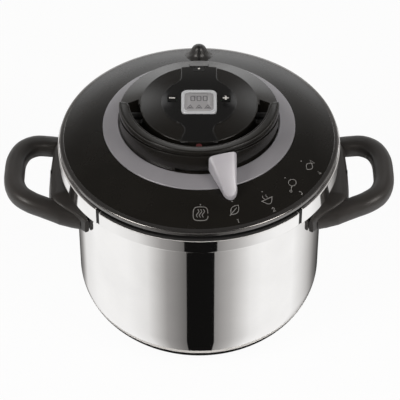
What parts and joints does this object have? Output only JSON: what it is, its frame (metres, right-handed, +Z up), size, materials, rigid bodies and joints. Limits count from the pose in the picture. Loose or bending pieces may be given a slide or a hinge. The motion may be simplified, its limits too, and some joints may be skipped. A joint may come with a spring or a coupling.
{
  "type": "stovetop pressure cooker",
  "caption": "Round steel stovetop pressure cooker with loop handles, jaw-locked lid worked by a folding bail, pressure selector lever and lift-off timer.",
  "frame": {"origin": "middle of the base's underside, on the stove", "axes": "+Z up, +X towards the right-hand handle, front (selector and bail) at -Y"},
  "size_m": [0.354, 0.2512, 0.2407],
  "materials": {
    "steel_polished": "polished stainless steel",
    "steel_satin": "satin steel",
    "steel_fastener": "satin steel",
    "aluminium_core": "plain aluminium",
    "handle_black": "matt heatproof plastic",
    "cover_black": "satin black plastic",
    "frame_grey": "glass-filled plastic",
    "trim_grey": "silver-grey plastic",
    "timer_black": "glossy black plastic",
    "bezel_silver": "bright silver paint",
    "display": "grey liquid crystal display",
    "board_green": "circuit board",
    "silicone": "grey silicone",
    "indicator_red": "red plastic",
    "brass_valve": "plain brass"
  },
  "bodies": {
    "pot": {"pot_shell": "steel_polished", "base_core": "aluminium_core", "base_cap": "steel_satin", "left_handle": "handle_black", "right_handle": "handle_black", "left_handle_bracket": "steel_satin", "right_handle_bracket": "steel_satin", "handle_screws": "steel_fastener", "lid_dish": "steel_satin", "gasket": "silicone", "left_skirt": "steel_polished", "right_skirt": "steel_polished", "lid_cover": "cover_black", "trim_ring": "trim_grey", "hub_housing": "cover_black", "carrier": "frame_grey", "carrier_studs": "steel_satin", "carrier_nuts": "steel_fastener", "hub_screws": "steel_fastener", "jaw_guides": "steel_satin", "steam_pipe": "frame_grey", "steam_outlet": "cover_black", "valve_body": "brass_valve", "valve_nut": "brass_valve", "valve_cap": "brass_valve", "valve_spring": "steel_satin", "safety_valve_body": "brass_valve", "safety_spring": "steel_satin", "indicator_bush": "silicone"},
    "front_jaw": {"front_jaw": "steel_polished", "front_arm": "steel_satin", "front_rivets": "steel_fastener"},
    "rear_jaw": {"rear_jaw": "steel_polished", "rear_arm": "steel_satin", "rear_rivets": "steel_fastener"},
    "rocker": {"rocker_plate": "steel_satin"},
    "bail": {"bail_handle": "cover_black", "bail_cranks": "steel_satin"},
    "selector": {"selector_lever": "trim_grey", "selector_ring": "frame_grey"},
    "timer": {"timer_case": "timer_black", "timer_back": "frame_grey", "timer_battery": "steel_satin", "timer_board": "board_green", "timer_bezel": "bezel_silver", "lcd_panel": "display"},
    "minus_button": {"minus_button": "timer_black"},
    "plus_button": {"plus_button": "timer_black"},
    "timer_latch": {"timer_latch": "cover_black"},
    "pressure_indicator": {"pressure_indicator": "indicator_red"},
    "valve_poppet": {"valve_poppet": "brass_valve"},
    "safety_plunger": {"safety_plunger": "brass_valve"}
  },
  "joints": [
    {"name": "bail_fold", "type": "hinge", "parent": "pot", "child": "bail", "pos_m": [0, -0.008, 0.227], "axis": [-1, 0, 0], "range_deg": [0, 92]},
    {"name": "front_jaw_slide", "type": "slide", "parent": "pot", "child": "front_jaw", "axis": [0, -1, 0], "range_m": [0, 0.01]},
    {"name": "rear_jaw_slide", "type": "slide", "parent": "pot", "child": "rear_jaw", "axis": [0, 1, 0], "range_m": [0, 0.0105]},
    {"name": "rocker_turn", "type": "hinge", "parent": "pot", "child": "rocker", "pos_m": [0, 0, 0.1935], "axis": [0, 0, 1], "range_deg": [0, 21.5]},
    {"name": "selector_turn", "type": "hinge", "parent": "pot", "child": "selector", "pos_m": [0, 0, 0.216], "axis": [0, 0, 1], "range_deg": [-15, 45]},
    {"name": "timer_lift", "type": "slide", "parent": "pot", "child": "timer", "axis": [0, 0, 1], "range_m": [0, 0.03]},
    {"name": "minus_press", "type": "slide", "parent": "timer", "child": "minus_button", "axis": [0, 0, -1], "range_m": [0, 0.0008], "stiffness_N_per_m": 300, "springref_m": -0.001},
    {"name": "plus_press", "type": "slide", "parent": "timer", "child": "plus_button", "axis": [0, 0, -1], "range_m": [0, 0.0008], "stiffness_N_per_m": 300, "springref_m": -0.001},
    {"name": "timer_latch_press", "type": "slide", "parent": "pot", "child": "timer_latch", "axis": [0, 0, -1], "range_m": [0, 0.0015], "stiffness_N_per_m": 400, "springref_m": -0.001},
    {"name": "indicator_rise", "type": "slide", "parent": "pot", "child": "pressure_indicator", "axis": [0, 0, 1], "range_m": [0, 0.004]},
    {"name": "valve_lift", "type": "slide", "parent": "pot", "child": "valve_poppet", "axis": [0, 0, 1], "range_m": [0, 0.0015], "stiffness_N_per_m": 1500, "springref_m": -0.002, "deforming": ["valve_spring"]},
    {"name": "safety_lift", "type": "slide", "parent": "pot", "child": "safety_plunger", "axis": [0, 0, 1], "range_m": [0, 0.003], "stiffness_N_per_m": 2500, "springref_m": -0.003, "deforming": ["safety_spring"]}
  ],
  "couplings": [
    {"joint": "bail_fold", "follows": "front_jaw_slide", "rad_per_m": 157.08},
    {"joint": "rear_jaw_slide", "follows": "front_jaw_slide", "ratio": 1},
    {"joint": "rocker_turn", "follows": "front_jaw_slide", "rad_per_m": 35.907}
  ]
}
